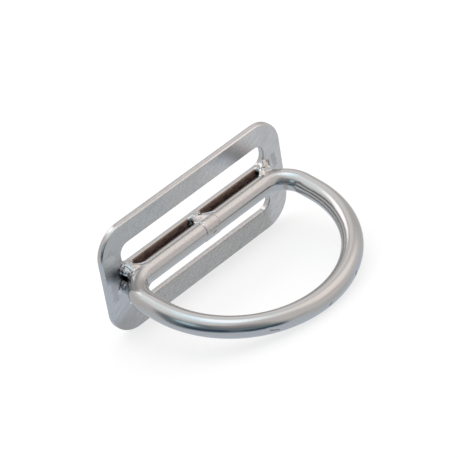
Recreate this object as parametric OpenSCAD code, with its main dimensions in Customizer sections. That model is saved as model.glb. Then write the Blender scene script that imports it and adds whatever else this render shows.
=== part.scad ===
// A welded D ring keeper for webbing, in stainless steel.
// A flat plate with two long slots slides on a strap. A D bent from round rod stands on
// its middle bar, held by three welds. The whole is one piece of metal.
// Millimetres. It lies on the plate's lower long edge and the nose of the D, as it would
// on a table: X runs along the plate, the D points to -Y, and Z is up.

/* [Plate] */
// Width of the webbing that the slots take
webbing_w = 50; // [25:1:60]
// Play of the webbing in its slot, along the plate
webbing_play = 4.2; // [1:0.1:6]
// Height of each slot
slot_h = 6.5; // [4:0.1:12]
// Inside radius in the slot's corners
slot_r = 2.9; // [0.5:0.1:4]
// Width of the metal beyond the ends of the slots
end_bar = 6.7; // [4:0.1:12]
// Width of the bar between the slots, which carries the ring
middle_bar = 8.4; // [7:0.1:14]
// Width of the bars along the outer long edges
edge_bar = 6.45; // [4:0.05:12]
// Thickness of the plate
plate_t = 2; // [1.2:0.1:3]
// Radius of the plate's corners in its outline
plate_r = 8.5; // [3:0.5:10]
// Bevel that breaks the stamped edges of the plate and its slots
edge_break = 0.3; // [0.1:0.05:0.5]

/* [Ring] */
// Diameter of the round rod
rod_d = 6; // [4:0.5:8]
// Clear width inside the D
ring_inner_w = 54.6; // [30:0.2:70]
// Inside radius of the two bends beside the plate
bend_r = 5.3; // [3:0.1:10]
// Straight run of each side, from the bend to the round nose
side_run = 3.9; // [1:0.1:20]
// Angle by which the D droops from square to the plate, in degrees
ring_droop = 5; // [-5:0.5:8]
// Height of the rod's axis over the middle of the plate
ring_rise = 0.5; // [-1:0.1:1]

/* [Welds] */
// Depth by which the rod is melted into the face of the plate
rod_sink = 0.15; // [0.05:0.05:0.4]
// Radius of the middle weld's bead
mid_bead_r = 1.4; // [1:0.1:2]
// Length of the middle weld, between the round ends of its bead
mid_bead_run = 4; // [0.5:0.1:8]
// Depth by which the middle bead is melted into the plate
mid_bead_sink = 0.4; // [0.1:0.1:0.8]
// Depth by which the middle bead is melted into the rod
mid_bead_bite = 1.4; // [0.4:0.1:1.6]
// Place of the middle weld along the plate
mid_weld_x = 1; // [-6:0.5:6]
// Radius of the end welds' beads
end_bead_r = 1.8; // [1.4:0.1:2.5]
// Length of each end weld, between the round ends of its bead
end_bead_run = 1.4; // [0.5:0.1:4]
// Depth by which the end beads are melted into the plate
end_bead_sink = 0.6; // [0.1:0.1:0.8]
// Depth by which the end beads are melted into the rod
end_bead_bite = 0.9; // [0.4:0.1:1.6]
// Distance of each end weld past the start of the bend
end_weld_past = 4.2; // [0:0.1:6]
// Width of the band that was ground where the rod's two ends were joined
seam_w = 5.6; // [2:0.2:10]
// Height of that band over the rod
seam_rise = 0.15; // [0.05:0.05:0.4]
// Place of that band along the rod
seam_x = 0.6; // [-6:0.2:6]

/* [Hidden] */
steel = [0.74, 0.75, 0.77];
bright = [0.85, 0.86, 0.88];
$fn = 64;

// Plate
slot_w = webbing_w + webbing_play;
plate_w = slot_w + 2 * end_bar;
plate_h = middle_bar + 2 * slot_h + 2 * edge_bar;
slot_z = (middle_bar + slot_h) / 2;
slot_corner = min(slot_r, slot_h / 2 - 0.1);

// Ring, along the centre of its rod
rod_r = rod_d / 2;
bend_c = bend_r + rod_r;
nose_c = ring_inner_w / 2 + rod_r;
bar_half = nose_c - bend_c;
ring_depth = bend_c + side_run + nose_c;
rod_off = rod_r - rod_sink;

// End welds, past the start of the bend but never off the plate
end_weld_x = min(bar_half + end_weld_past, plate_w / 2 - end_bead_run / 2 - end_bead_r);

// How far the rod's axis is from the face, at a place x along the plate
function rod_away(x) = abs(x) <= bar_half ? rod_off
    : rod_off + bend_c * (1 - cos(asin((abs(x) - bar_half) / bend_c)));

// Height of a bead's centre over the rod's axis, from how deep the bead lies in each
function bead_up(x, r, sink, bite) =
    sqrt(max(0, (rod_r + r - bite) ^ 2 - (rod_away(x) - r + sink) ^ 2));

// How it lies: a line from the plate's lower edge, under the rod at the nose
nose_y = rod_off + ring_depth * cos(ring_droop);
nose_z = ring_rise - ring_depth * sin(ring_droop);
to_nose = [nose_y + edge_break, nose_z + plate_h / 2];
tilt = atan2(to_nose.y, to_nose.x) - asin(rod_r / norm(to_nose));
rest_up = plate_h / 2 * cos(tilt) - edge_break * sin(tilt);
back_y = plate_t * cos(tilt) + (plate_h / 2 - edge_break) * sin(tilt);
front_y = -nose_y * cos(tilt) - nose_z * sin(tilt) - rod_r;
over = 1;

// Outline of a slab's section, with its four edges bevelled by c
function bevelled(w, t, c) = [
    [-w / 2 + c, 0], [w / 2 - c, 0], [w / 2, c], [w / 2, t - c],
    [w / 2 - c, t], [-w / 2 + c, t], [-w / 2, t - c], [-w / 2, c]];

// Half of that section, for turning about Z
function bevelled_half(r, t, c) = [[0, 0], [r - c, 0], [r, c], [r, t - c], [r - c, t], [0, t]];

// Section of a cut through a slab, flared by c at both faces
function flared(w, t, c) = [
    [-w / 2 - c - over, -over], [w / 2 + c + over, -over], [w / 2, c], [w / 2, t - c],
    [w / 2 + c + over, t + over], [-w / 2 - c - over, t + over], [-w / 2, t - c], [-w / 2, c]];

// Half of that section, for turning about Z
function flared_half(r, t, c) = [
    [0, -over], [r + c + over, -over], [r, c], [r, t - c], [r + c + over, t + over], [0, t + over]];

// A rounded slab on the face plane, its thickness to +Y, from a section and a half section
module rounded_slab(w, h, r, section_w, section_h, half_section) {
    translate([0, 0, -h / 2 + r]) linear_extrude(h - 2 * r) polygon(section_w);
    rotate([0, 90, 0]) translate([0, 0, -w / 2 + r]) linear_extrude(w - 2 * r) polygon(section_h);
    for (x = [-1, 1], z = [-1, 1])
        translate([x * (w / 2 - r), 0, z * (h / 2 - r)])
            rotate([-90, 0, 0]) rotate_extrude() polygon(half_section);
}

// The stamped plate: a rounded slab, cut by the two webbing slots
module plate() {
    color(steel) difference() {
        rounded_slab(plate_w, plate_h, plate_r, bevelled(plate_w, plate_t, edge_break),
            bevelled(plate_h, plate_t, edge_break), bevelled_half(plate_r, plate_t, edge_break));
        for (side = [-1, 1])
            translate([0, 0, side * slot_z])
                rounded_slab(slot_w, slot_h, slot_corner, flared(slot_w, plate_t, edge_break),
                    flared(slot_h, plate_t, edge_break), flared_half(slot_corner, plate_t, edge_break));
    }
}

// One bend of the rod, centred on the origin, from angle a to angle b
module rod_bend(r, a, b) {
    rotate([0, 0, a]) rotate_extrude(angle = b - a) translate([r, 0]) circle(rod_r);
}

// The D, flat in the XY plane: bar, two bends, two sides and a half-round nose
module ring() {
    color(bright) union() {
        rotate([0, 90, 0]) cylinder(h = 2 * bar_half, r = rod_r, center = true);
        for (side = [-1, 1]) {
            translate([side * bar_half, -bend_c, 0])
                rod_bend(bend_c, side > 0 ? 0 : 90, side > 0 ? 90 : 180);
            translate([side * nose_c, -bend_c, 0]) rotate([90, 0, 0]) cylinder(h = side_run, r = rod_r);
        }
        translate([0, -bend_c - side_run, 0]) rod_bend(nose_c, 180, 360);
    }
}

// The ground band where the rod's two ends meet, in the middle of the bar
module seam() {
    color(steel) rotate([0, 90, 0]) rotate_extrude() polygon([
        [0, -seam_w / 2], [rod_r, -seam_w / 2], [rod_r + seam_rise, -seam_w / 4],
        [rod_r + seam_rise, seam_w / 4], [rod_r, seam_w / 2], [0, seam_w / 2]]);
}

// A pair of beads in the grooves over and under the rod, at a place x along the plate
module weld(x, r, run, sink, bite) {
    color(bright) for (side = [-1, 1])
        translate([x, sink - r, ring_rise + side * bead_up(x, r, sink, bite)]) {
            rotate([0, 90, 0]) cylinder(h = run, r = r, center = true);
            for (end = [-1, 1]) translate([end * run / 2, 0, 0]) sphere(r);
        }
}

// The whole piece, laid down on its lower edge and its nose
module welded_d_ring() {
    translate([0, -(back_y + front_y) / 2, rest_up]) rotate([tilt, 0, 0]) union() {
        plate();
        translate([0, -rod_off, ring_rise]) rotate([ring_droop, 0, 0]) {
            ring();
            translate([seam_x, 0, 0]) seam();
        }
        weld(mid_weld_x, mid_bead_r, mid_bead_run, mid_bead_sink, mid_bead_bite);
        for (side = [-1, 1])
            weld(side * end_weld_x, end_bead_r, end_bead_run, end_bead_sink, end_bead_bite);
    }
}

welded_d_ring();
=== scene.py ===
import math

import bpy
import numpy as np
from bpy.props import FloatProperty, FloatVectorProperty, PointerProperty
from mathutils import Matrix, Vector


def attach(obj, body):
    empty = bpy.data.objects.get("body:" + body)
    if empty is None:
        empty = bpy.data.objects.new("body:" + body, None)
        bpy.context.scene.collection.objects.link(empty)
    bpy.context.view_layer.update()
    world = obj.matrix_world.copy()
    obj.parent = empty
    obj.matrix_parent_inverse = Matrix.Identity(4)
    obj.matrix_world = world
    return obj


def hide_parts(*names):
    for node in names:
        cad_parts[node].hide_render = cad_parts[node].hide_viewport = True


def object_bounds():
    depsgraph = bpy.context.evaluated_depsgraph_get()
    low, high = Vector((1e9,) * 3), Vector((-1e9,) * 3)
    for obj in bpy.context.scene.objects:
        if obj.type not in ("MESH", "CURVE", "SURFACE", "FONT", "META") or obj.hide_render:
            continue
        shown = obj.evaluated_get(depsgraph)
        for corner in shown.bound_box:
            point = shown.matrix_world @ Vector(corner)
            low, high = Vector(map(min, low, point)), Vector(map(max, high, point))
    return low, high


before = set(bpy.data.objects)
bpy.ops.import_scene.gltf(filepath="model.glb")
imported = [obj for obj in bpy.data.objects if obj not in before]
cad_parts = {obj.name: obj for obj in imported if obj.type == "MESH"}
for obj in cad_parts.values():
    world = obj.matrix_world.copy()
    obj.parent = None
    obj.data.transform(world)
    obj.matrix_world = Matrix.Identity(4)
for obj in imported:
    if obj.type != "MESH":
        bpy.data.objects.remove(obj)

CAD_LOW, CAD_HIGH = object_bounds()

bl_info = {
    "name": "Webbing keeper with a D ring",
    "version": (1, 0, 0),
    "blender": (4, 5, 0),
    "location": "3D View > Sidebar > Keeper",
    "description": "Builds a welded steel webbing keeper with a D ring, and its studio",
    "category": "Add Mesh",
}

MM = 0.001
BODY = "root"
NODE = "welded_d_ring"

# Bevel on the plate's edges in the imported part
EDGE_BREAK = 0.3 * MM
# Points are in one place if they round to the same multiple of this
SAME_PLACE = 1e-4 * MM


# Sizes and colours


def size(name, description, millimetres):
    """A length that a user may change, given in millimetres and held in metres."""
    return FloatProperty(
        name=name,
        description=description,
        default=millimetres * MM,
        unit="LENGTH",
        precision=5,
    )


def colour(name, description, value):
    """A colour that a user may change, in linear light."""
    return FloatVectorProperty(
        name=name, description=description, subtype="COLOR", size=3, default=value
    )


def angle(name, description, degrees):
    """An angle that a user may change, given in degrees and held in radians."""
    return FloatProperty(
        name=name, description=description, default=math.radians(degrees), unit="ROTATION"
    )


class PlateSizes(bpy.types.PropertyGroup):
    """The stamped plate and its slots."""

    length: FloatProperty(
        name="Length",
        description="Length of the plate, from the packed part",
        default=CAD_HIGH.x - CAD_LOW.x,
        unit="LENGTH",
    )
    height: size("Height", "Height of the plate", 34.3)
    thickness: size("Thickness", "Thickness of the plate", 2)
    corner: size("Corner radius", "Radius of the plate's corners", 8.5)
    slot_length: size("Slot length", "Length of each slot", 54.2)
    slot_height: size("Slot height", "Height of each slot", 6.5)
    slot_corner: size("Upper slot radius", "Radius in the corners of the upper slot", 2.9)
    lower_slot_corner: size("Lower slot radius", "Radius in the corners of the lower slot", 3.2)
    slot_offset: size("Slot offset", "From the plate's middle line to a slot's", 7.45)
    roll: size("Roll", "Depth to which a wall is rolled over from the face", 0.8)
    roll_radius: size("Roll radius", "Radius of the rolled part of a wall", 1.3)
    edge: size("Edge radius", "Radius where the outer wall meets the face", 0.07)
    slot_roll: size("Slot roll", "Depth to which a slot's wall is rolled over", 0.5)
    slot_roll_radius: size("Slot roll radius", "Radius of that rolled part", 1.45)
    slot_edge: size("Slot edge radius", "Radius where a slot's wall meets the face", 0.25)
    back_edge: size("Back edge radius", "Radius where a wall meets the back", 0.44)
    steel: colour("Steel", "Mirror colour of the tumbled steel", (0.61, 0.60, 0.59))
    wall_steel: colour("Wall steel", "The same on the walls", (0.60, 0.605, 0.615))
    # Oxide behind the rod, darkened further as painted shade of the gap between the rod and the
    # plate
    shaded_oxide: colour("Stain", "Colour of the oxide behind the rod", (0.22, 0.15, 0.13))
    straw: colour("Straw", "Heat tint along the oxide's edge", (0.24, 0.15, 0.075))


class RingSizes(bpy.types.PropertyGroup):
    """The D, bent from round rod."""

    rod: size("Rod", "Diameter of the rod", 6)
    inner_width: size("Inner width", "Clear width inside the D", 54.6)
    bend: size("Bend radius", "Inside radius of the bends beside the plate", 5.3)
    side: size("Side", "Straight run between a bend and the nose", 3.9)
    droop: angle("Droop", "Angle by which the D droops from square", 5)
    rise: size("Rise", "Height of the rod over the middle of the plate", 0.5)
    sink: size("Sink", "Depth of the rod in the plate's face", 0.15)
    seam_width: size("Seam width", "Width of the band over the rod's joint", 5.6)
    seam_place: size("Seam place", "Place of that band along the plate", 0.6)
    seam_rise: size("Seam rise", "Height of that band over the rod", 0.15)
    steel: colour("Steel", "Mirror colour of the drawn rod", (0.56, 0.565, 0.57))


class WeldSizes(bpy.types.PropertyGroup):
    """The welds between the D and the plate."""

    blend: size("Blend", "Softness with which a bead runs out onto the steel", 0.38)
    ripple: size("Ripple", "Height of the ripples on a bead", 0.03)
    steel: colour("Steel", "Mirror colour of a bead", (0.60, 0.61, 0.62))
    burnt: colour("Burnt", "Colour of scale and pits", (0.05, 0.04, 0.04))


class StudioSizes(bpy.types.PropertyGroup):
    """The floor, the light tent and the camera."""

    floor: colour("Floor", "Colour of the floor", (0.38, 0.38, 0.38))
    shine: colour("Floor light", "Light that comes through the floor", (0.68, 0.683, 0.686))
    below: colour("Below", "Light that the steel gets back from the floor", (0.66, 0.70, 0.76))
    walls: colour("Walls", "Light of the tent's pale walls", (0.80, 0.75, 0.73))
    ceiling: colour("Ceiling", "Light of the tent's ceiling", (1.25, 1.50, 1.60))
    azimuth: angle("Azimuth", "Camera's angle about the vertical", -34.903)
    elevation: angle("Elevation", "Camera's angle over the floor", 26.963)
    roll: angle("Roll", "Camera's turn about its own axis", -19.335)
    distance: size("Distance", "From the camera to the point it looks at", 681.72)
    aim: FloatVectorProperty(
        name="Aim",
        description="Point that the camera looks at",
        default=(-2.251 * MM, 3.495 * MM, 20.337 * MM),
        subtype="TRANSLATION",
        size=3,
    )
    lens: FloatProperty(
        name="Lens",
        description="Focal length, in millimetres on a sensor 36 wide",
        default=204.26,
    )


# The keeper's own frame


def turned(points, angle):
    """Points turned about X by an angle."""
    cos, sin = math.cos(angle), math.sin(angle)
    x, y, z = np.moveaxis(points, -1, 0)
    return np.stack([x, y * cos - z * sin, y * sin + z * cos], -1)


class Lie:
    """How the keeper lies. In its own frame, the plate's face is on y = 0 with its body to
    +Y, x runs along it, and z is up across the slots. Lying down turns that by an angle
    about X, so that it rests on its lower edge and the nose of the D."""

    def __init__(self, plate, ring):
        """The angle is that of the line from the plate's lower edge which touches the rod
        at the nose from below: the angle to the nose's centre, less the rod's own. Laid
        down so, the edge with a bevel touches the floor. The rolled one is rounder and
        stands lower by the swell, to touch it too."""
        self.radius = ring.rod / 2
        self.bend = ring.bend + self.radius
        self.nose = ring.inner_width / 2 + self.radius
        self.bar = self.nose - self.bend
        self.side = ring.side
        self.off = self.radius - ring.sink
        self.rise = ring.rise
        self.droop = ring.droop
        depth = self.bend + ring.side + self.nose
        nose_y = self.off + depth * math.cos(ring.droop)
        nose_z = ring.rise - depth * math.sin(ring.droop)
        to_nose = (nose_y + EDGE_BREAK, nose_z + plate.height / 2)
        self.tilt = math.atan2(to_nose[1], to_nose[0]) - math.asin(
            self.radius / math.hypot(*to_nose)
        )
        cos, sin = math.cos(self.tilt), math.sin(self.tilt)
        back = plate.thickness * cos + (plate.height / 2 - EDGE_BREAK) * sin
        front = -nose_y * cos - nose_z * sin - self.radius
        self.up = plate.height / 2 * cos - EDGE_BREAK * sin
        self.shift = -(back + front) / 2
        lift = (plate.roll - EDGE_BREAK) * sin - plate.roll_radius * (1 - cos)
        self.swell = lift / cos

    def place(self, points):
        """From the keeper's own frame to the row frame: a turn about X, then a shift."""
        return turned(points, self.tilt) + (0, self.shift, self.up)

    def from_ring(self, points):
        """From the D's flat frame, with its bar along X and the nose to -Y, to the keeper's:
        a turn about X by the droop, then a shift to the rod's place on the face."""
        return turned(points, self.droop) + (0, -self.off, self.rise)

    def to_ring(self, points):
        """The reverse of from_ring."""
        return turned(points + np.array((0, self.off, -self.rise)), -self.droop)


def lie_of(context):
    """How the keeper lies, by the sizes in the scene."""
    return Lie(context.scene.keeper_plate, context.scene.keeper_ring)


# Surfaces


def grid_faces(rows, columns, wrap_rows=False, wrap_columns=False):
    """Quads of a grid of rows by columns of points, numbered row by row. A wrapped way
    joins its last line of points to its first."""
    r = np.arange(rows if wrap_rows else rows - 1)[:, None]
    c = np.arange(columns if wrap_columns else columns - 1)[None, :]
    a, b = r * columns, ((r + 1) % rows) * columns
    d = (c + 1) % columns
    return np.stack([a + c, a + d, b + d, b + c], -1).reshape(-1, 4)


def capped(surface):
    """Points and faces of a closed tube, from a grid of points whose rows run round it. The
    first and the last row are each drawn together into one point, a pole, with a fan of
    triangles round it. Each quad starts at its second corner, and so is split from there."""
    rows = surface[1:-1]
    count, around = rows.shape[:2]
    first, last = count * around, count * around + 1
    ring = np.arange(around)
    following = (ring + 1) % around
    top = (count - 1) * around
    first_fan = np.stack([np.full(around, first), following, ring], -1)
    last_fan = np.stack([np.full(around, last), top + ring, top + following], -1)
    quads = np.roll(grid_faces(count, around, False, True), -1, axis=1)
    points = np.concatenate([rows.reshape(-1, 3), surface[[0, -1]].mean(1)])
    return points, [*quads.tolist(), *first_fan.tolist(), *last_fan.tolist()]


def welded_together(points, faces):
    """The same surface, with points that are in one place made one, and those that no face
    uses left out. A face that loses a corner by this has no area, and is left out too."""
    used, faces = np.unique(faces, return_inverse=True)
    points = points[used]
    _, first, same = np.unique(
        np.round(points / SAME_PLACE).astype(np.int64),
        axis=0,
        return_index=True,
        return_inverse=True,
    )
    corners = same.reshape(-1)[faces.reshape(-1, 4)].tolist()
    return points[first], [face for face in corners if len(set(face)) == 4]


def add_piece(name, points, faces, material, fields=None):
    """Makes a piece of the keeper from points in the row frame and its faces, which face
    outwards. fields are numbers or vectors kept at each point for the material."""
    mesh = bpy.data.meshes.new(name)
    mesh.from_pydata(points.tolist(), [], faces)
    for key, values in (fields or {}).items():
        vector = values.ndim == 2
        kept = mesh.attributes.new(key, "FLOAT_VECTOR" if vector else "FLOAT", "POINT")
        kept.data.foreach_set(
            "vector" if vector else "value", values.astype(np.float32).ravel()
        )
    mesh.shade_smooth()
    mesh.materials.append(material)
    piece = bpy.data.objects.new(name, mesh)
    bpy.context.scene.collection.objects.link(piece)
    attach(piece, BODY)
    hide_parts(NODE)


def line(start, end, count):
    """Points evenly along a straight line, without its end."""
    t = np.arange(count)[:, None] / count
    return np.array(start) * (1 - t) + np.array(end) * t


def arc(centre, radius, start, end, count):
    """Points evenly along an arc between two angles in degrees, without its end."""
    t = np.radians(start + (end - start) * np.arange(count) / count)
    return np.array(centre) + radius * np.stack([np.cos(t), np.sin(t)], -1)


def whole_turn(count):
    """Angles evenly round a circle, without its end."""
    return np.linspace(0, 2 * np.pi, count, endpoint=False)


def waves(points, seed, pitch, count=14):
    """A smooth field between about -1 and 1: a sum of sine waves whose directions and
    phases come from a seeded draw, and whose lengths are spread about pitch."""
    draw = np.random.default_rng(seed)
    ways = draw.normal(size=(count, points.shape[-1]))
    ways *= (2 * np.pi / (pitch * draw.uniform(0.6, 1.6, count)))[:, None] / np.linalg.norm(
        ways, axis=1, keepdims=True
    )
    return np.sin(points @ ways.T + draw.uniform(0, 2 * np.pi, count)).sum(-1) / math.sqrt(
        count * 2
    )


# Materials

# Tints that a grain leans to
DARK, LIGHT = (0.10, 0.10, 0.10), (0.98, 0.98, 0.98)


def darker(colour, share):
    """A colour of which a share is left."""
    return tuple(share * part for part in colour)


class Shade:
    """A value or colour in a material. Arithmetic on it adds Math nodes."""

    def __init__(self, finish, socket):
        self.finish, self.socket = finish, socket

    def __add__(self, other):
        return self.finish.math("ADD", self, other)

    def __sub__(self, other):
        return self.finish.math("SUBTRACT", self, other)

    def __rsub__(self, other):
        return self.finish.math("SUBTRACT", other, self)

    def __mul__(self, other):
        return self.finish.math("MULTIPLY", self, other)

    def __pow__(self, other):
        return self.finish.math("POWER", self, other)

    __radd__, __rmul__ = __add__, __mul__


class Nodes:
    """A tree of nodes while it is laid."""

    def __init__(self, tree):
        self.nodes, self.links = tree.nodes, tree.links

    def node(self, kind, settings=None, inputs=None, output=0):
        """Adds a node of a type, sets its settings, then gives its sockets their values or
        links, and returns one of its outputs."""
        node = self.nodes.new(kind)
        for key, value in (settings or {}).items():
            setattr(node, key, value)
        self.feed(node, inputs or {})
        return Shade(self, node.outputs[output])

    def feed(self, node, inputs):
        """Sets or links the sockets of a node."""
        for key, value in inputs.items():
            socket = node.inputs[key]
            if isinstance(value, Shade):
                self.links.new(value.socket, socket)
            elif socket.type == "RGBA" and len(value) == 3:
                socket.default_value = (*value, 1)
            else:
                socket.default_value = value

    def math(self, operation, *values):
        """An operation on numbers, by a Math node."""
        return self.node("ShaderNodeMath", {"operation": operation}, dict(enumerate(values)))

    def vector(self, operation, *values, output=0):
        """The same on vectors."""
        return self.node(
            "ShaderNodeVectorMath", {"operation": operation}, dict(enumerate(values)), output
        )

    def most(self, a, b):
        """The greater of two numbers."""
        return self.math("MAXIMUM", a, b)

    def mix(self, share, first, second):
        """The first colour where share is 0, the second where it is 1."""
        return self.node(
            "ShaderNodeMix", {"data_type": "RGBA"}, {0: share, 6: first, 7: second}, 2
        )

    def step(self, value, low, high):
        """0 below low, 1 above high, and smooth between. low may be above high."""
        return self.node(
            "ShaderNodeMapRange",
            {"interpolation_type": "SMOOTHSTEP"},
            {0: value, 1: low, 2: high},
        )

    def noise(self, place, scale, detail=2.0, rough=0.5):
        """Fractal noise from 0 to 1, about 0.5. scale is in lumps per unit of place. The place
        is moved aside first, because the noise is weak on planes through its origin."""
        aside = self.vector("ADD", place, (0.37 / scale, 0.41 / scale, 0.43 / scale))
        return self.node(
            "ShaderNodeTexNoise",
            {},
            {"Vector": aside, "Scale": scale, "Detail": detail, "Roughness": rough},
        )

    def split(self, place):
        """The three parts of a vector."""
        node = self.node("ShaderNodeSeparateXYZ", {}, {0: place}).socket.node
        return [Shade(self, node.outputs[i]) for i in range(3)]


class Finish(Nodes):
    """A material while its nodes are laid."""

    def __init__(self, name):
        self.material = bpy.data.materials.new(name)
        self.material.use_nodes = True
        super().__init__(self.material.node_tree)
        self.shader = self.nodes["Principled BSDF"]

    def keeper_place(self, lie):
        """Place in the keeper's own frame, in millimetres, from Object coordinates."""
        place = self.node("ShaderNodeTexCoord", output=3)
        level = self.vector("SUBTRACT", place, (0, lie.shift, lie.up))
        return self.node(
            "ShaderNodeMapping",
            {"vector_type": "POINT"},
            {"Vector": level, "Rotation": (-lie.tilt, 0, 0), "Scale": (1 / MM,) * 3},
        )

    def stretch(self, place, scale, turn=(0, 0, 0)):
        """A place stretched by a scale for each axis, after a turn."""
        return self.node(
            "ShaderNodeMapping",
            {"vector_type": "TEXTURE"},
            {"Vector": place, "Rotation": turn, "Scale": tuple(1 / part for part in scale)},
        )

    def marks(self, place, tint, table):
        """Lays small marks over a colour: stains and tints, painted highlights and painted shade.
        Each is the
            space round a straight line between two points, out to a reach, with an edge made ragged
            by noise, and has a strength and a colour. Returns the colour, and how much any mark
            covers."""
        rough = self.noise(place, 2.0, 4, 0.65) - 0.5
        full, shortest = 0.45, 1e-9
        covered = 0.0
        for start, end, reach, ragged, strength, dye in table:
            way = np.subtract(end, start)
            part = way / max(way @ way, shortest)
            apart = self.vector("SUBTRACT", place, start)
            share = self.vector("DOT_PRODUCT", apart, tuple(part), output=1)
            share = self.node("ShaderNodeClamp", {}, {0: share})
            along = self.vector("MULTIPLY", self.wide(share), tuple(way))
            away = self.vector("LENGTH", self.vector("SUBTRACT", apart, along), output=1)
            near = self.step(away + rough * (ragged * 2.0), reach, reach * full)
            tint = self.mix(near * strength, tint, dye)
            covered = self.most(near * strength, covered)
        return tint, covered

    def wide(self, value):
        """The same value in all three parts of a vector."""
        return self.node("ShaderNodeCombineXYZ", {}, {0: value, 1: value, 2: value})

    def bumps(self, *layers):
        """A normal from layers of (height, distance in metres), one on another."""
        normal = {}
        for height, distance in layers:
            made = self.node(
                "ShaderNodeBump",
                {},
                {"Height": height, "Distance": distance, "Strength": 1.0, **normal},
            )
            normal = {"Normal": made}
        return made

    def steel(self, colour, roughness, normal, metallic=1.0):
        """Finishes the material as bare metal."""
        self.feed(
            self.shader,
            {"Base Color": colour, "Roughness": roughness, "Metallic": metallic,
             "Normal": normal},
        )
        return self.material


# The plate

PLATE_MARKS_SHADE_AND_HIGHLIGHT = (
    # start, end, reach, raggedness, strength and colour, in millimetres of the keeper's frame;
    # painted shade and a painted highlight are noted below
    ((-30.6, 0, 11.0), (-29.4, 0, 9.0), 1.2, 0.8, 0.15, (0.38, 0.31, 0.25)),
    # painted highlight on the left end
    ((-32.2, 0, 8.8), (-30.4, 0, 8.6), 1.9, 1.4, 0.45, (0.80, 0.90, 0.95)),
    # darker patches
    ((-31.2, 0, 6.0), (-30.4, 0, 2.8), 1.4, 2.0, 0.24, (0.20, 0.21, 0.23)),
    ((-31.0, 0, 1.6), (-31.4, 0, -3.6), 1.5, 1.8, 0.28, (0.24, 0.24, 0.24)),
    # painted shadow in the dark hollow beside the left weld
    ((-29.0, 0, 4.3), (-28.7, 0, 2.0), 0.8, 0.8, 0.7, (0.045, 0.05, 0.06)),
    # a grey patch
    ((-28.8, 0, 0.2), (-28.6, 0, -0.8), 1.0, 0.5, 0.6, (0.25, 0.27, 0.30)),
    # painted shadow in the same hollow
    ((-28.0, 0, 1.5), (-26.9, 0, 0.2), 1.2, 0.3, 1.0, (0.004, 0.004, 0.004)),
    # a pale patch
    ((-30.0, 0, -2.4), (-29.4, 0, -1.6), 0.9, 0.4, 0.6, (0.72, 0.77, 0.84)),
    # red-brown streaks
    ((-28.9, 0, 4.4), (-28.2, 0, 2.6), 0.28, 0.15, 0.9, (0.16, 0.055, 0.04)),
    ((-28.2, 0, 1.7), (-30.0, 0, -1.5), 0.26, 0.15, 0.9, (0.16, 0.055, 0.04)),
    # painted shade in the crease at the left weld's upper edge
    ((-27.6, 0, 5.2), (-26.9, 0, 4.4), 0.35, 0.2, 0.7, (0.10, 0.09, 0.085)),
    # a grey patch
    ((30.5, 0, 4.6), (30.8, 0, 1.6), 1.2, 1.2, 0.45, (0.34, 0.345, 0.345)),
    # painted shade in the crease beside the right weld
    ((28.6, 0, 4.2), (28.7, 0, 2.6), 0.4, 0.3, 0.6, (0.12, 0.10, 0.09)),
    # painted shadow at the ends of the gap beside the middle and right welds
    ((-3.1, 0, 2.4), (-2.2, 0, 3.9), 0.8, 0.3, 0.95, (0.01, 0.01, 0.01)),
    ((23.4, 0, 3.4), (24.3, 0, 2.4), 0.7, 0.3, 0.95, (0.01, 0.01, 0.01)),
)
ROD_MARKS = (
    # the same for the D
    ((-25.5, -6.7, 1.8), (-26.3, -8.0, 1.0), 0.36, 0.2, 0.95, (0.20, 0.07, 0.045)),
    ((12.5, -45.75, -2.9), (12.0, -46.0, -3.4), 0.45, 0.3, 0.8, (0.10, 0.06, 0.05)),
    ((0.1, -48.1, -3.6), (-0.6, -48.0, -4.1), 0.4, 0.3, 0.8, (0.10, 0.06, 0.05)),
    ((-17.8, -43.1, -2.9), (-15.6, -44.2, -3.6), 0.3, 0.3, 0.7, (0.12, 0.07, 0.055)),
    ((26.34, -8.0, 0.6), (26.4, -7.8, -0.9), 0.85, 0.2, 0.7, (0.40, 0.36, 0.32)),
    ((25.9, -7.3, 1.5), (26.8, -8.7, 1.2), 0.2, 0.1, 0.9, (0.05, 0.06, 0.07)),
)
SEAM_MARKS_AND_HIGHLIGHTS = (
    # the same for the band over the rod's joint: cracks and heat tint, then painted highlights
    ((-2.4, -4.7, 2.8), (-2.2, -5.65, 1.5), 0.3, 0.2, 0.95, (0.05, 0.045, 0.04)),
    ((-2.6, -5.75, 1.1), (-3.0, -5.8, -0.6), 0.16, 0.1, 0.6, (0.10, 0.09, 0.09)),
    ((3.6, -4.15, 3.2), (3.5, -4.6, 2.9), 0.26, 0.15, 0.9, (0.06, 0.045, 0.04)),
    ((3.1, -5.2, 2.3), (2.9, -5.6, 1.7), 0.2, 0.15, 0.8, (0.06, 0.05, 0.05)),
    ((0.3, -5.85, 0.3), (1.2, -5.85, 0.5), 0.38, 0.25, 0.9, (0.42, 0.24, 0.15)),
    # painted highlights
    ((-1.4, -3.1, 3.5), (-0.6, -3.8, 3.4), 0.28, 0.1, 0.9, (0.90, 0.97, 1.0)),
    ((-2.2, -3.9, 3.3), (-1.4, -4.2, 3.2), 0.30, 0.1, 0.9, (0.82, 0.94, 1.0)),
)
PLATE_LIGHT_AND_SHADE_TONES = (
    # painted light and shade, as tones that brighten or darken parts of the face: where along the
    # plate a tone starts and where it is full, the same up the plate, in millimetres, None for a
    # tone that doesn't change that way, and its colour
    ((-4, -12), None, (0.565, 0.573, 0.575)),
    ((0, 14), None, (0.75, 0.745, 0.745)),
    (None, (-5.5, -10.5), (0.53, 0.52, 0.495)),
    ((4, 12), (-5.5, -10.5), (0.515, 0.503, 0.48)),
    ((24.5, 28), None, (0.72, 0.71, 0.715)),
    ((-24, -28), (10, 5), (0.615, 0.635, 0.66)),
    ((-23, -28), (-8, -13), (0.453, 0.445, 0.43)),
)


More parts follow.
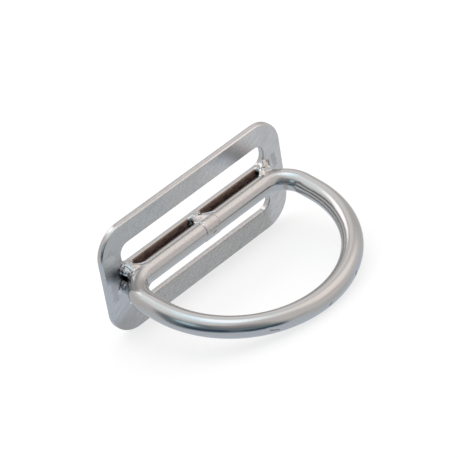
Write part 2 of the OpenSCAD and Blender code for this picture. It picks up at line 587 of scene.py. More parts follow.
def plate_columns(plate, swell, corner, few=10, some=28, many=96):
    """The two outlines of a half plate that the surface is stretched between: the slot's,
    with corners of the given radius, and the outer one. Each is a list of matching lines
    and arcs, with few columns on a short stretch, some round a corner and many along a long
    edge. The outer outline closes along the plate's middle line, z = 0. Its columns there
    are spaced by the upper slot's corners in both halves, so that the halves' points meet."""
    run, side = plate.slot_length / 2 - corner, plate.slot_length / 2
    low = plate.slot_offset - (plate.slot_height / 2 - corner)
    high = plate.slot_offset + (plate.slot_height / 2 - corner)
    meet = plate.slot_length / 2 - plate.slot_corner
    bow, end, top = plate.corner, plate.length / 2, plate.height / 2 + swell
    pairs = [
        (arc((-run, low), corner, 225, 270, few), line((-end, 0), (-meet, 0), few)),
        (line((-run, low - corner), (run, low - corner), many), line((-meet, 0), (meet, 0), many)),
        (arc((run, low), corner, 270, 315, few), line((meet, 0), (end, 0), few)),
        (arc((run, low), corner, 315, 360, few), line((end, 0), (end, low), few)),
        (line((side, low), (side, high), few), line((end, low), (end, top - bow), few)),
        (arc((run, high), corner, 0, 90, some), arc((end - bow, top - bow), bow, 0, 90, some)),
        (line((run, high + corner), (-run, high + corner), many),
         line((end - bow, top), (bow - end, top), many)),
        (arc((-run, high), corner, 90, 180, some), arc((bow - end, top - bow), bow, 90, 180, some)),
        (line((-side, high), (-side, low), few), line((-end, top - bow), (-end, low), few)),
        (arc((-run, low), corner, 180, 225, few), line((-end, low), (-end, 0), few)),
    ]
    inner, outer = (np.concatenate(outline) for outline in zip(*pairs))
    return inner, outer


def outward(outline):
    """Unit normals of a closed outline that runs anticlockwise, from its neighbours."""
    along = np.roll(outline, -1, 0) - np.roll(outline, 1, 0)
    along /= np.linalg.norm(along, axis=1, keepdims=True)
    return np.stack([along[:, 1], -along[:, 0]], -1)


def wall_section(plate, roll, radius, edge):
    """Section of a stamped wall, from the face to the back, as its depth and how far in it
    is from the outline: an arc of the edge's radius that touches the face, an arc of the
    roll's radius that runs out onto the outline at the roll's depth, then the flat wall and
    a quarter circle onto the back."""
    back = plate.back_edge
    meet = math.asin((roll - edge) / (radius - edge))
    corner = np.linspace(np.pi / 2, meet, 5)
    bulge = np.linspace(meet, 0, 7)[1:]
    turn = np.linspace(0, np.pi / 2, 7)
    inset = radius - (radius - edge) * math.cos(meet)
    depth = [edge - edge * np.sin(corner), roll - radius * np.sin(bulge),
             plate.thickness - back + back * np.sin(turn)]
    into = [inset - edge * np.cos(corner), radius - radius * np.cos(bulge),
            back - back * np.cos(turn)]
    return np.concatenate(depth), np.concatenate(into)


def half_plate(plate, swell, corner, rows=16, beside=0.03 * MM):
    """One half of the plate. Its section is carried round the slot: up the slot's wall, over
    the face, down the outer wall and back under. Where the outer outline is the plate's
    middle line, the face and the back end there without a wall, to meet the other half.
    Close beside each wall a row of points keeps the face flat up to its edge. At the end
    the faces are turned over, each about its first corner, to point outwards."""
    inner, outer = plate_columns(plate, swell, corner)
    slot_way, outer_way = outward(inner), outward(outer)
    on_line = np.isclose(outer[:, 1], 0)
    at_end = on_line & np.isclose(np.abs(outer[:, 0]), plate.length / 2)
    middle = on_line & ~at_end
    outer_way[at_end] = np.sign(outer[at_end, :1]) * (1, 0)
    outer_way[middle] = 0
    depth, into = wall_section(plate, plate.roll, plate.roll_radius, plate.edge)
    slot_depth, slot_into = wall_section(
        plate, plate.slot_roll, plate.slot_roll_radius, plate.slot_edge
    )
    over = np.linspace(0, 1, rows)[:, None, None]

    def across(slot_inset, outer_inset):
        start = inner + slot_way * (slot_inset + beside)
        stop = outer - outer_way * (outer_inset + beside)
        return start + (stop - start) * over

    slot_wall = inner + slot_way * slot_into[::-1, None, None]
    outer_wall = outer - outer_way * into[:, None, None]
    face, back = across(slot_into[0], into[0]), across(slot_into[-1], into[-1])[::-1]
    flat = np.concatenate([slot_wall, face, outer_wall, back])
    level = np.zeros(rows)
    deep = np.concatenate([slot_depth[::-1], level, depth, level + plate.thickness])
    points = np.stack(
        [flat[..., 0], np.broadcast_to(deep[:, None], flat.shape[:2]), flat[..., 1]], -1
    )
    count, columns = points.shape[:2]
    faces = grid_faces(count, columns, True, True).reshape(count, columns, 4)
    keep = np.ones((count, columns), bool)
    wall = len(depth) + rows
    keep[wall:wall + len(depth) - 1, middle | np.roll(middle, -1)] = False
    return points.reshape(-1, 3), faces[keep][:, [0, 3, 2, 1]]


def plate_finish(plate, lie):
    """Tumbled steel: a fine grain, long faint scratches, oxide behind the rod that is also painted
    shade of the gap, heat tint round the end welds, and painted light and shade in tones and marks."""
    f = Finish("tumbled_steel")
    place = f.keeper_place(lie)
    x, y, z = f.split(place)
    width, height = f.math("ABSOLUTE", x), f.math("ABSOLUTE", z)
    calm = 1.0 - f.step(width, 24, 29) * 0.5
    grain = (f.noise(place, 3.2, 3, 0.6) - 0.5) * calm + 0.5
    cloud = f.noise(place, 0.22, 3, 0.55)
    streak = f.noise(f.stretch(place, (0.28, 1, 2.4), (0, math.radians(-34), 0)), 1, 3, 0.6)
    on_face = f.step(y, 0.5, 0.25)

    wobble = (f.noise(place, 0.8, 3) - 0.5) * 1.2
    behind = f.step(width + wobble, 26.4, 25.4) * on_face
    # Oxide behind the rod, also painted dark as the shade of the gap between the rod and the plate
    oxide_and_shade = f.step(height, 4.55, 4.2) * f.step(height, 0.2, 0.8) * behind
    rim = f.step(height, 3.8, 4.25) * oxide_and_shade
    steel = tuple(plate.steel)
    # Painted light and shade: tones that brighten or darken parts of the face
    for along, up, painted_tone in PLATE_LIGHT_AND_SHADE_TONES:
        share = f.step(x, *along) if along else 1.0
        steel = f.mix(f.step(z, *up) * share if up else share, steel, painted_tone)
    steel = f.mix(f.step(y, 0.1, 0.5), steel, plate.wall_steel)
    brushed = f.step(z, -5, -9) * 0.14 + 0.12
    tint = f.mix(f.step(streak, 0.42, 0.62) * brushed, steel, (0.30, 0.30, 0.30))
    tint = f.mix(f.step(cloud, 0.40, 0.75) * 0.25, tint, (0.50, 0.505, 0.51))
    tint = f.mix(f.step(grain, 0.49, 0.66) * 0.19, tint, DARK)
    tint = f.mix(f.step(grain, 0.49, 0.33) * 0.13, tint, LIGHT)

    # Patchy dark brown: real oxide together with painted shade of the gap
    patch = f.noise(f.stretch(place, (0.5, 1, 1)), 1.1, 3, 0.6)
    oxide_and_shade_tint = f.mix(f.step(patch, 0.40, 0.62), plate.shaded_oxide, darker(plate.shaded_oxide, 0.5))
    oxide_and_shade_tint = f.mix(f.step(patch, 0.42, 0.34) * 0.6, oxide_and_shade_tint, (0.17, 0.13, 0.15))
    tint = f.mix(oxide_and_shade, tint, oxide_and_shade_tint)
    tint = f.mix(rim * 0.7, tint, plate.straw)
    # Stains and heat tint, with painted shadow in the gaps and creases by the welds and a painted
    # highlight on the left end
    tint, marked = f.marks(place, tint, PLATE_MARKS_SHADE_AND_HIGHLIGHT)

    rough = 0.15 + on_face * 0.10 + (cloud - 0.5) * 0.08 + (grain - 0.5) * 0.10
    rough = rough + marked * 0.15 + oxide_and_shade * 0.25
    normal = f.bumps(
        (cloud, 0.05 * MM),
        (streak, 0.010 * MM),
        (grain, 0.008 * MM),
        (f.noise(place, 2.2, 3, 0.6) * marked, 0.04 * MM),
    )
    return f.steel(tint, rough, normal, 1.0 - oxide_and_shade * 0.5)


# The D ring


def ring_path(lie, seam, pitch):
    """The middle line of the rod in the D's flat frame, from the seam and round to it again,
    as matching lines and arcs, with its outward way and the length run at each point."""
    bar, bend, nose, side = lie.bar, lie.bend, lie.nose, lie.side
    low, quarter = -bend - side, bend * math.pi / 2

    def count(length):
        return max(2, round(length / pitch))

    parts = [
        line((seam, 0), (bar, 0), count(bar - seam)),
        arc((bar, -bend), bend, 90, 0, count(quarter)),
        line((nose, -bend), (nose, low), count(side)),
        arc((0, low), nose, 0, -180, count(nose * math.pi)),
        line((-nose, low), (-nose, -bend), count(side)),
        arc((-bar, -bend), bend, 180, 90, count(quarter)),
        line((-bar, 0), (seam, 0), count(bar + seam)),
    ]
    path = np.concatenate(parts)
    way = -outward(path)
    run = np.cumsum(np.linalg.norm(path - np.roll(path, 1, 0), axis=1))
    return path, way, run - run[0]


NICKS = (
    # place in the D's flat frame (x, y) and angle round the rod from its outside, then
    # reach, in millimetres and degrees
    (10.9, -40.5, 7, 0.6),
    (0.1, -42.5, -6, 0.55),
    (-16.2, -37.8, 2, 0.5),
    (-14.6, -38.8, -8, 0.5),
)


def ring_surface(lie, seam, pitch=0.26 * MM, around=80):
    """The rod carried along its path: at each point a circle is drawn on the outward way and
    the D's upright, its radius a little less where faint waves from drawing and bending,
    and small nicks, go in. Returns points, faces, and the straightened rod's coordinates."""
    wave_depth, nick_depth = 0.012 * MM, 0.09 * MM
    path, way, run = ring_path(lie, seam, pitch)
    turn = whole_turn(around)
    cos, sin = np.cos(turn), np.sin(turn)
    straight = np.stack(
        np.broadcast_arrays(run[:, None], lie.radius * cos, lie.radius * sin), -1
    )
    centre, out = (np.pad(flat, ((0, 0), (0, 1))) for flat in (path, way))
    upright = np.array((0, 0, 1))
    unit = out[:, None] * cos[None, :, None] + upright * sin[None, :, None]
    surface = centre[:, None] + unit * lie.radius
    faint = waves(surface, 3, 9 * MM) * 0.5 + waves(surface, 4, 3 * MM) * 0.2
    dip = wave_depth * np.clip(1 + faint, 0, 2)
    for x, y, angle_up, reach in NICKS:
        near = np.argmin(np.linalg.norm(path - np.array((x, y)) * MM, axis=1))
        up = math.radians(angle_up)
        at = centre[near] + lie.radius * (out[near] * math.cos(up) + upright * math.sin(up))
        far = np.linalg.norm((surface - at) / (reach * MM), axis=-1)
        dip = dip + nick_depth * np.exp(-(far**2))
    surface = surface - unit * dip[..., None]
    faces = grid_faces(len(path), around, True, True)
    return lie.from_ring(surface).reshape(-1, 3), faces.tolist(), straight.reshape(-1, 3)


def rod_finish(ring, lie):
    """Drawn rod, lightly polished: streaks along the rod from its straightened coordinates,
    faint clouds, a grain that is fullest on the bar, and a few dark marks."""
    f = Finish("drawn_rod_steel")
    rod = f.node("ShaderNodeAttribute", {"attribute_name": "straight_rod"}, {}, 1)
    rod = f.node("ShaderNodeVectorMath", {"operation": "SCALE"}, {0: rod, "Scale": 1 / MM})
    place = f.keeper_place(lie)
    drawn = f.noise(f.stretch(rod, (0.06, 3.2, 3.2)), 1, 4, 0.6)
    fine = f.noise(f.stretch(rod, (0.25, 9, 9)), 1, 3, 0.6)
    cloud = f.noise(place, 0.25, 3, 0.5)
    speck = f.noise(place, 3.0, 3, 0.6)
    tint = f.mix(f.step(drawn, 0.4, 0.75) * 0.35, ring.steel, darker(ring.steel, 0.9))
    on_bar = f.step(f.split(place)[1], -14, -7)
    grainy = on_bar * 0.8 + 0.2
    tint = f.mix(f.step(speck, 0.50, 0.68) * grainy * 0.16, tint, DARK)
    tint = f.mix(f.step(speck, 0.48, 0.32) * grainy * 0.11, tint, LIGHT)
    tint, marked = f.marks(place, tint, ROD_MARKS)
    rough = 0.14 + on_bar * 0.03 + (drawn - 0.5) * 0.08 + (cloud - 0.5) * 0.06
    normal = f.bumps((cloud, 0.04 * MM), (drawn, 0.007 * MM), (fine, 0.0025 * MM))
    return f.steel(tint, rough, normal, 1.0 - marked * 0.5)


# The seam


def seam_surface(lie, ring, rows=90, around=120):
    """A sleeve over the rod where its two ends were joined and ground: the radius rises from
    under the rod's skin to the band's height and falls again, over a length that leans
    a little round the rod, with low waves on its height. Returns points, faces, and how
    near the sleeve's edge each point is."""
    under, slope, hollow = 0.10 * MM, 0.07, 0.8 * lie.radius
    s, turn = np.meshgrid(np.linspace(0, 1, rows), whole_turn(around), indexing="ij")
    cos, sin = np.cos(turn), np.sin(turn)
    lean = 0.25 * MM * np.sin(turn - 0.6) + 0.12 * MM * np.sin(3 * turn + 1)
    x = ring.seam_place + (s - 0.5) * ring.seam_width + lean
    shape = np.clip(np.minimum(s, 1 - s) / slope, 0, 1)
    shape = shape * shape * (3 - 2 * shape)
    skin = np.stack([x, lie.radius * cos, lie.radius * sin], -1)
    rise = ring.seam_rise * (0.75 + 0.21 * waves(skin, 11, 2.4 * MM))
    radius = lie.radius - under + shape * (under + np.clip(rise, 0, ring.seam_rise))
    outer = np.stack([x, radius * cos, radius * sin], -1)
    inner = np.stack([x, hollow * cos, hollow * sin], -1)[::-1]
    points = np.concatenate([outer, inner])
    edge = np.concatenate([1 - shape, np.ones_like(shape)])
    faces = grid_faces(len(points), around, True, True)
    return lie.from_ring(points).reshape(-1, 3), faces.tolist(), edge.ravel()


def seam_finish(ring, lie):
    """The ground band: bright, with fine marks round the rod, dark cracks at its ends and painted
    highlights.
    """
    f = Finish("ground_seam_steel")
    place = f.keeper_place(lie)
    edge = f.node("ShaderNodeAttribute", {"attribute_name": "edge"}, {}, 2)
    marks = f.noise(f.stretch(place, (5, 0.6, 0.6)), 1, 3, 0.6)
    cloud = f.noise(place, 1.2, 3, 0.55)
    crack = f.step(edge, 0.35, 0.8) * f.step(f.noise(place, 0.9, 2), 0.40, 0.52)
    tint = f.mix(cloud * 0.5, ring.steel, (0.56, 0.53, 0.51))
    tint = f.mix(crack * 0.85, tint, (0.06, 0.045, 0.04))
    tint = f.marks(place, tint, SEAM_MARKS_AND_HIGHLIGHTS)[0]
    rough = 0.20 + (marks - 0.5) * 0.14 + crack * 0.2
    normal = f.bumps((cloud, 0.08 * MM), (marks, 0.008 * MM))
    return f.steel(tint, rough, normal)


# The welds


def overlap(first, second, radius):
    """Signed distance from what two shapes share, outside positive, from their own signed
    distances, with the edge between them rounded to a radius."""
    first, second = first + radius, second + radius
    outside = np.hypot(np.maximum(first, 0), np.maximum(second, 0))
    return outside + np.minimum(np.maximum(first, second), 0) - radius


def rounded_box(x, z, length, height, radius):
    """Signed distance in the plane from a rectangle with rounded corners."""
    return overlap(np.abs(x) - length / 2, np.abs(z) - height / 2, radius)


def plate_depth(points, plate):
    """Signed distance from the plate, outside positive: the outline less its slots, given
    its thickness."""
    x, y, z = np.moveaxis(points, -1, 0)
    outline = rounded_box(x, z, plate.length, plate.height, plate.corner)
    slots = rounded_box(
        x, np.abs(z) - plate.slot_offset, plate.slot_length, plate.slot_height,
        plate.slot_corner,
    )
    thick = np.abs(y - plate.thickness / 2) - plate.thickness / 2
    return overlap(np.maximum(outline, -slots), thick, EDGE_BREAK)


def rod_depth(points, lie):
    """Signed distance from the rod of the D, outside positive: from its bar, its bends and
    its sides, whichever the point is beside."""
    x, y, z = np.moveaxis(lie.to_ring(points), -1, 0)
    over = np.maximum(np.abs(x) - lie.bar, 0)
    in_bend = (over > 0) & (y > -lie.bend)
    across = np.where(in_bend, np.hypot(over, y + lie.bend) - lie.bend, y)
    across = np.where((over > 0) & ~in_bend, np.abs(x) - lie.nose, across)
    return np.hypot(across, z) - lie.radius


class Weld:
    """A lump of weld metal, fused with the plate and the rod."""

    def __init__(self, name, beads, spine, pits=(), seed=1, ripple=0.7, pitch=0.8, mirrored=False):
        self.name, self.seed, self.ripple, self.pitch = name, seed, ripple, pitch * MM
        flip = np.array((1, 1, -1)) if mirrored else 1
        beads, pits = np.array(beads) * MM, np.array(pits).reshape(-1, 4) * MM
        self.beads, self.sizes = beads[:, :3] * flip, beads[:, 3]
        self.pits, self.pit_sizes = pits[:, :3] * flip, pits[:, 3]
        self.spine = np.array(spine) * MM * flip

    def field(self, points, plate, lie, weld):
        """Below zero in metal. The smallest of the distances to the beads, the plate and the
        rod, softened as a sum of exponentials so that they run into each other, with the
        plate and the rod drawn in a little, ripples across the beads, fullest on the first
        one, and pits cut out."""
        fade, first_fade, elsewhere, draw = 0.35 * MM, 0.8 * MM, 0.3, 0.05 * MM
        apart = np.linalg.norm(points[..., None, :] - self.beads, axis=-1) - self.sizes
        away = np.clip(apart, 0, None)
        first = np.exp(-((away[..., 0] / first_fade) ** 2))
        near = np.exp(-away.min(-1) / fade) * (elsewhere + (1 - elsewhere) * first)
        ripple = np.sin(
            2 * np.pi * (points[..., 0] + 0.18 * points[..., 1]) / self.pitch
            + 1.6 * waves(points, self.seed, 1.6 * MM)
        )
        lumps = waves(points, self.seed + 5, 1.3 * MM)
        skin = weld.ripple * self.ripple * near * (ripple + lumps)
        steel = np.stack([plate_depth(points, plate), rod_depth(points, lie)], -1) + draw
        apart = np.concatenate([apart + skin[..., None], steel], -1)
        field = -weld.blend * np.log(np.clip(np.exp(-apart / weld.blend).sum(-1), 1e-30, None))
        if len(self.pits):
            pit = np.linalg.norm(points[..., None, :] - self.pits, axis=-1) - self.pit_sizes
            field = np.maximum(field, -pit.min(-1))
        return field

    def surface(self, plate, lie, weld, around=96, cap=26, steps=72):
        """Rays leave a short spine inside the lump, square to it along its length and fanned
        out to a pole at each end. Each point of the surface is the first place on its ray
        where the field rises through zero, or the ray's end inside the plate or rod. The
        faces point outwards."""
        reach, deepest_in_plate, spacing = 3.4 * MM, 1.2 * MM, 0.09 * MM
        start, end = self.spine
        length = np.linalg.norm(end - start)
        axis = (end - start) / length
        side = np.cross(axis, (0, 1, 0))
        side /= np.linalg.norm(side)
        other = np.cross(axis, side)
        middle = max(2, round(length / spacing))
        lift = np.radians(
            np.concatenate([np.linspace(-90, 0, cap)[:-1], np.zeros(middle),
                            np.linspace(0, 90, cap)[1:]])
        )[:, None, None]
        along = np.concatenate([np.zeros(cap - 1), np.linspace(0, 1, middle), np.ones(cap - 1)])
        turn = whole_turn(around)[:, None]
        ray = np.cos(lift) * (side * np.cos(turn) + other * np.sin(turn)) + np.sin(lift) * axis
        base = (start + (end - start) * along[:, None])[:, None] + 0 * ray
        inwards = np.where(ray[..., 1] > 1e-6, ray[..., 1], np.nan)
        deepest = np.fmin(reach, (deepest_in_plate - base[..., 1]) / inwards)
        t = np.linspace(0, 1, steps)
        points = base[..., None, :] + ray[..., None, :] * (deepest[..., None] * t)[..., None]
        field = self.field(points, plate, lie, weld)
        out = field >= 0
        first = np.clip(np.where(out.any(-1), out.argmax(-1), steps - 1), 1, steps - 1)
        low = np.take_along_axis(field, first[..., None] - 1, -1)[..., 0]
        high = np.take_along_axis(field, first[..., None], -1)[..., 0]
        share = np.where(high > 0, np.clip(-low / (high - low + 1e-12), 0, 1), 1)
        far = deepest * (t[first - 1] + share * (t[1] - t[0]))
        return capped(base + ray * far[..., None])


WELDS = (
    Weld(
        "middle_weld_upper",
        [(-0.7, -0.95, 3.45, 1.1), (0.5, -1.2, 3.05, 1.1), (1.6, -1.45, 2.8, 0.95),
         (2.6, -1.8, 2.65, 0.7), (3.6, -2.2, 2.7, 0.4), (-1.7, -0.1, 3.9, 0.35)],
        [(-0.8, -1.2, 2.5), (2.8, -1.6, 2.2)],
        [(0.7, -0.7, 4.35, 0.3), (1.3, -0.6, 4.2, 0.22)],
        seed=21,
    ),
    Weld(
        "left_weld_upper",
        [(-26.6, -1.0, 3.6, 1.2), (-27.6, -1.1, 3.2, 0.85), (-25.2, -1.2, 3.15, 1.1),
         (-24.0, -1.6, 2.8, 0.9), (-22.9, -2.0, 2.6, 0.6), (-22.0, -2.4, 2.65, 0.35),
         (-24.8, 0.1, 3.75, 0.5)],
        [(-27.0, -1.3, 2.9), (-23.4, -1.5, 2.2)],
        [(-25.3, -0.5, 4.5, 0.18), (-26.6, -0.2, 4.85, 0.15)],
        seed=31,
        ripple=1.7,
        pitch=0.55,
    ),
    Weld(
        "right_weld_upper",
        [(24.15, -1.65, 3.25, 0.8), (25.5, -0.9, 3.6, 0.95), (26.8, -0.35, 4.05, 0.9),
         (24.4, 0.2, 3.8, 0.5), (26.9, -1.5, 3.0, 0.95)],
        [(24.4, -1.4, 2.8), (26.8, -1.5, 2.7)],
        [(25.9, -1.7, 4.45, 0.3), (24.9, -2.0, 3.9, 0.12)],
        seed=41,
    ),
    Weld(
        "middle_weld_lower",
        [(-0.6, -1.15, 2.2, 1.3), (0.8, -1.15, 2.2, 1.35), (2.2, -1.2, 2.15, 1.2)],
        [(-0.6, -1.3, 1.7), (2.2, -1.3, 1.7)],
        seed=51,
        mirrored=True,
    ),
    Weld(
        "left_weld_lower",
        [(-27.2, -1.2, 2.6, 1.5), (-25.8, -1.3, 2.5, 1.5), (-24.4, -1.4, 2.2, 1.1)],
        [(-27.0, -1.4, 2.0), (-24.4, -1.4, 1.7)],
        seed=61,
        mirrored=True,
    ),
    Weld(
        "right_weld_lower",
        [(24.6, -1.4, 2.3, 1.2), (26.0, -1.3, 2.5, 1.5), (27.2, -1.2, 2.6, 1.4)],
        [(24.6, -1.4, 1.7), (27.0, -1.4, 2.0)],
        seed=71,
        mirrored=True,
    ),
)
WELD_HIGHLIGHTS_SHADE_AND_MARKS = (
    # marks on the weld metal, given like those of the plate: painted highlights, painted shade in
    # pits, creases and between ripples, a beige patch and brown heat tint
    # painted highlight on the middle weld
    ((-1.9, -1.4, 4.0), (-0.9, -1.6, 4.2), 0.9, 0.3, 0.9, (0.98, 0.9, 0.89)),
    # painted shade in a pit
    ((0.1, -1.2, 4.4), (1.1, -1.2, 4.2), 0.32, 0.1, 0.95, (0.03, 0.03, 0.03)),
    # painted highlights
    ((-1.6, 0.2, 4.5), (-1.0, 0.0, 4.5), 0.35, 0.15, 0.9, (0.85, 0.95, 1.0)),
    ((-2.2, -1.1, 3.6), (-1.5, -2.2, 3.7), 0.25, 0.1, 0.8, (0.92, 0.89, 0.88)),
    # painted shade in a pit
    ((3.9, -2.1, 3.8), (4.0, -2.1, 3.8), 0.25, 0.1, 0.9, (0.03, 0.03, 0.03)),
    # painted highlight on the rod beside the middle weld
    ((-1.4, -3.1, 3.5), (-0.6, -3.8, 3.3), 0.28, 0.1, 0.9, (0.9, 0.97, 1.0)),
    # painted highlights on the left weld's ripples
    ((-26.6, -1.1, 4.9), (-26.3, -2.3, 4.1), 0.55, 0.1, 0.95, (0.74, 0.92, 0.97)),
    ((-27.4, -1.2, 4.7), (-27.1, -2.4, 3.8), 0.50, 0.1, 0.95, (0.88, 0.98, 1.0)),
    # painted shade between those ripples
    ((-27.05, -1.1, 4.9), (-26.75, -2.4, 3.9), 0.2, 0.1, 0.9, (0.07, 0.09, 0.11)),
    # painted highlights
    ((-28.0, -0.9, 4.2), (-27.8, -1.9, 3.8), 0.45, 0.2, 0.7, (0.8, 0.81, 0.84)),
    ((-26.1, -2.4, 3.7), (-25.5, -2.5, 3.7), 0.35, 0.15, 0.9, (0.98, 0.92, 0.88)),
    # painted shade along the edges of the left weld
    ((-24.6, 0.3, 4.5), (-24.1, -0.6, 4.0), 0.22, 0.15, 0.8, (0.1, 0.08, 0.07)),
    ((-27.3, -2.6, 3.1), (-26.3, -2.6, 3.4), 0.2, 0.1, 0.7, (0.1, 0.11, 0.12)),
    # painted highlight on the right weld
    ((25.8, -0.4, 4.9), (25.1, -0.9, 4.6), 0.32, 0.1, 0.9, (0.86, 0.95, 1.0)),
    # painted shade in a pit
    ((25.1, -1.4, 4.5), (25.6, -1.6, 4.4), 0.22, 0.1, 0.9, (0.03, 0.03, 0.03)),
    # a beige patch
    ((25.9, -1.2, 4.7), (27.2, -0.9, 4.8), 0.7, 0.2, 0.3, (0.55, 0.52, 0.50)),
    # painted shade along the right weld's edge
    ((28.1, -0.2, 4.4), (27.1, -1.7, 4.2), 0.25, 0.15, 0.8, (0.1, 0.09, 0.08)),
    # painted highlight
    ((23.5, -2.0, 3.8), (24.2, -2.3, 3.9), 0.55, 0.2, 0.8, (0.95, 0.9, 0.88)),
    # brown heat tint dots
    ((23.2, -2.8, 3.6), (23.4, -2.9, 3.6), 0.2, 0.1, 0.8, (0.2, 0.08, 0.05)),
)


def weld_finish(weld, lie):
    """Bright weld metal with scale in its hollows, colours from the heat, and painted highlights
    and shade.
    """
    f = Finish("weld_metal")
    place = f.keeper_place(lie)
    cloud = f.noise(place, 0.9, 3, 0.6)
    scale = f.noise(place, 2.2, 4, 0.6)
    warm = f.noise(place, 0.6, 2, 0.5)
    tint = f.mix(f.step(warm, 0.52, 0.68) * 0.5, weld.steel, (0.46, 0.35, 0.29))
    tint = f.mix(f.step(warm, 0.44, 0.34) * 0.4, tint, (0.40, 0.50, 0.60))
    tint = f.mix(f.step(scale, 0.64, 0.76) * 0.8, tint, weld.burnt)
    # Painted highlights and painted shade in pits and creases, with a beige patch and heat tint
    tint, marked = f.marks(place, tint, WELD_HIGHLIGHTS_SHADE_AND_MARKS)
    rough = 0.16 + (cloud - 0.5) * 0.16 + f.step(scale, 0.62, 0.74) * 0.25
    normal = f.bumps((cloud, 0.03 * MM), (scale, 0.006 * MM))
    return f.steel(tint, rough, normal, 1.0 - marked * 0.8)


# Operators


class KEEPER_OT_plate(bpy.types.Operator):
    """Build the stamped plate with its two webbing slots"""

    bl_idname = "keeper.plate"
    bl_label = "Stamped plate"

    def execute(self, context):
        plate, lie = context.scene.keeper_plate, lie_of(context)
        upper, faces = half_plate(plate, 0, plate.slot_corner)
        lower = half_plate(plate, lie.swell, plate.lower_slot_corner)[0] * (1, 1, -1)
        points, faces = welded_together(
            np.concatenate([upper, lower]),
            np.concatenate([faces, faces[:, ::-1] + len(upper)]),
        )
        add_piece("plate", lie.place(points), faces, plate_finish(plate, lie))
        return {"FINISHED"}


class KEEPER_OT_ring(bpy.types.Operator):
    """Build the D ring from its bent rod"""

    bl_idname = "keeper.ring"
    bl_label = "D ring"

    def execute(self, context):
        ring, lie = context.scene.keeper_ring, lie_of(context)
        points, faces, straight = ring_surface(lie, ring.seam_place)
        material = rod_finish(ring, lie)
        add_piece("d_ring", lie.place(points), faces, material, {"straight_rod": straight})
        return {"FINISHED"}


class KEEPER_OT_seam(bpy.types.Operator):
    """Build the ground band over the joint of the rod's two ends"""

    bl_idname = "keeper.seam"
    bl_label = "Ground seam"

    def execute(self, context):
        ring, lie = context.scene.keeper_ring, lie_of(context)
        points, faces, edge = seam_surface(lie, ring)
        add_piece("seam_band", lie.place(points), faces, seam_finish(ring, lie), {"edge": edge})
        return {"FINISHED"}


class KEEPER_OT_welds(bpy.types.Operator):
    """Build the three pairs of welds between the D and the plate"""

    bl_idname = "keeper.welds"
    bl_label = "Welds"

    def execute(self, context):
        plate, weld, lie = context.scene.keeper_plate, context.scene.keeper_weld, lie_of(context)
        material = weld_finish(weld, lie)
        for lump in WELDS:
            points, faces = lump.surface(plate, lie, weld)
            add_piece(lump.name, lie.place(points), faces, material)
        return {"FINISHED"}


# The studio

# What the camera sees of the room
BACKDROP = (0.95, 0.95, 0.95)
TENT = (
    # azimuth and elevation of the middle, half the width and height, softness, and light;
    # angles in degrees, azimuth 0 is -Y and 90 is +X
    (45, 84, 60, 5, 11, (1.68, 1.72, 1.75)),
    (50, 46, 20, 7, 34, (1.28, 1.165, 1.09)),
    (33, 14, 5, 8, 18, (0.83, 0.745, 0.725)),
    (118, 10, 18, 18, 24, (0.66, 0.64, 0.61)),
    (-152, 8, 26, 12, 22, (0.68, 0.67, 0.65)),
    (40, -28, 16, 6, 20, (0.66, 0.65, 0.62)),
    (0, -4, 6, 10, 14, (0.62, 0.60, 0.57)),
    (-62, 9, 44, 25, 15, (0.20, 0.24, 0.26)),
    (-40, 34, 12, 3, 16, (0.40, 0.36, 0.36)),
    (6, 34, 8, 12, 30, (0.80, 0.75, 0.72)),
    (-85, 26, 3, 2, 14, (0.62, 0.84, 0.90)),
    (-76, -6, 16, 5, 12, (0.05, 0.08, 0.12)),
    (-30, -15, 14, 6, 10, (0.06, 0.10, 0.13)),
    (122, 45, 8, 15, 12, (0.98, 0.94, 0.92)),
    (-135, 67, 22, 9, 10, (1.06, 1.08, 1.08)),
    (-85, 72, 14, 6, 10, (0.98, 1.10, 1.12)),
    (-52, 56, 10, 5, 9, (0.95, 0.93, 0.90)),
    (170, 75, 22, 3, 10, (1.18, 1.16, 1.14)),
    (178, 56, 15, 8, 11, (1.95, 1.84, 1.80)),
)


def tent_light(studio, world):
    """Light from each way: the floor's below, the walls' round about and the ceiling's above,
    one running softly into the next, then the parts of the tent over them. Each part is a
    box of azimuth and elevation that fades with the distance from it. The camera sees a
    plain pale room."""
    f = Nodes(world.node_tree)
    x, y, z = f.split(f.node("ShaderNodeTexCoord"))
    azimuth = f.math("DEGREES", f.math("ARCTAN2", x, y * -1.0))
    elevation = f.math("DEGREES", f.math("ARCSINE", z))
    light = f.mix(f.step(elevation, -30, 10), tuple(studio.below), tuple(studio.walls))
    light = f.mix(f.step(elevation, 58, 80), light, tuple(studio.ceiling))
    for around, over, wide, high, soft, part in TENT:
        aside = f.math("ABSOLUTE", f.math("WRAP", azimuth - around, 180.0, -180.0)) - wide
        apart = f.math("ABSOLUTE", elevation - over) - high
        away = f.math("SQRT", f.most(aside, 0.0) ** 2.0 + f.most(apart, 0.0) ** 2.0)
        light = f.mix(f.step(away, soft, 0), light, part)
    seen = f.node("ShaderNodeLightPath")
    light = f.mix(seen, light, BACKDROP)
    f.feed(f.nodes["Background"], {"Color": light})


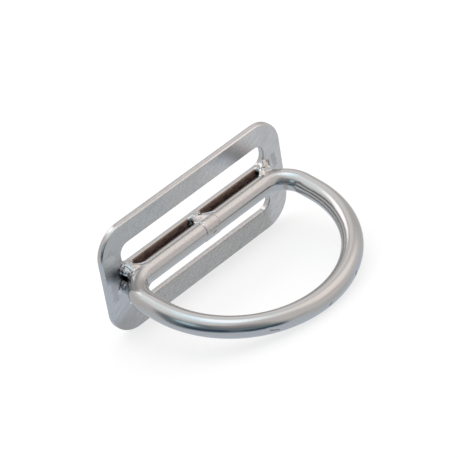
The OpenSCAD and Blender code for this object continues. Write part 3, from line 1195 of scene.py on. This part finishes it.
class KEEPER_OT_studio(bpy.types.Operator):
    """Build the floor, the light tent and the camera"""

    bl_idname = "keeper.studio"
    bl_label = "Studio"

    def execute(self, context):
        studio, scene = context.scene.keeper_studio, context.scene
        scene.view_settings.view_transform = "Standard"
        scene.view_settings.look = "None"

        f = Finish("floor")
        f.feed(f.shader, {"Base Color": tuple(studio.floor), "Roughness": 0.6,
                          "Specular IOR Level": 0.2, "Emission Color": tuple(studio.shine),
                          "Emission Strength": 1.0})
        half, lines = 4, 9
        reach = np.linspace(-half, half, lines)
        x, y = np.meshgrid(reach, reach)
        points = np.stack([x, y, 0 * x], -1).reshape(-1, 3)
        mesh = bpy.data.meshes.new("floor")
        mesh.from_pydata(points.tolist(), [], grid_faces(lines, lines).tolist())
        mesh.materials.append(f.material)
        floor = bpy.data.objects.new("floor", mesh)
        floor.visible_glossy = False
        scene.collection.objects.link(floor)

        world = bpy.data.worlds.new("room")
        world.use_nodes = True
        tent_light(studio, world)
        scene.world = world

        azimuth, elevation = studio.azimuth, studio.elevation
        back = Vector((
            math.sin(azimuth) * math.cos(elevation),
            -math.cos(azimuth) * math.cos(elevation),
            math.sin(elevation),
        ))
        right = Vector((math.cos(azimuth), math.sin(azimuth), 0))
        up = back.cross(right)
        cos, sin = math.cos(studio.roll), math.sin(studio.roll)
        right, up = right * cos + up * sin, up * cos - right * sin
        turn = Matrix((right, up, back)).transposed().to_4x4()
        camera = bpy.data.objects.new("camera", bpy.data.cameras.new("camera"))
        camera.data.sensor_width = 36
        camera.data.lens = studio.lens
        camera.data.clip_start, camera.data.clip_end = 0.01, 20
        aim = Vector(studio.aim)
        camera.matrix_world = Matrix.Translation(aim + back * studio.distance) @ turn
        scene.collection.objects.link(camera)
        scene.camera = camera
        return {"FINISHED"}


# The add-on


class KEEPER_PT_panel(bpy.types.Panel):
    """Lists the operators that build the keeper"""

    bl_label = "Webbing keeper"
    bl_idname = "KEEPER_PT_panel"
    bl_space_type = "VIEW_3D"
    bl_region_type = "UI"
    bl_category = "Keeper"

    def draw(self, context):
        for made in BUILDERS:
            self.layout.operator(made.bl_idname)
        for name in SIZES:
            group = getattr(context.scene, name)
            box = self.layout.box()
            for key in group.__annotations__:
                box.prop(group, key)


SIZES = {
    "keeper_plate": PlateSizes,
    "keeper_ring": RingSizes,
    "keeper_weld": WeldSizes,
    "keeper_studio": StudioSizes,
}
BUILDERS = (
    KEEPER_OT_plate, KEEPER_OT_ring, KEEPER_OT_seam, KEEPER_OT_welds, KEEPER_OT_studio,
)


def register():
    for made in (*SIZES.values(), *BUILDERS, KEEPER_PT_panel):
        bpy.utils.register_class(made)
    for name, group in SIZES.items():
        setattr(bpy.types.Scene, name, PointerProperty(type=group))


def unregister():
    for name in SIZES:
        delattr(bpy.types.Scene, name)
    for made in reversed((*SIZES.values(), *BUILDERS, KEEPER_PT_panel)):
        bpy.utils.unregister_class(made)


def main():
    register()
    bpy.ops.keeper.plate()
    bpy.ops.keeper.ring()
    bpy.ops.keeper.seam()
    bpy.ops.keeper.welds()
    bpy.ops.keeper.studio()


if __name__ == "__main__":
    main()
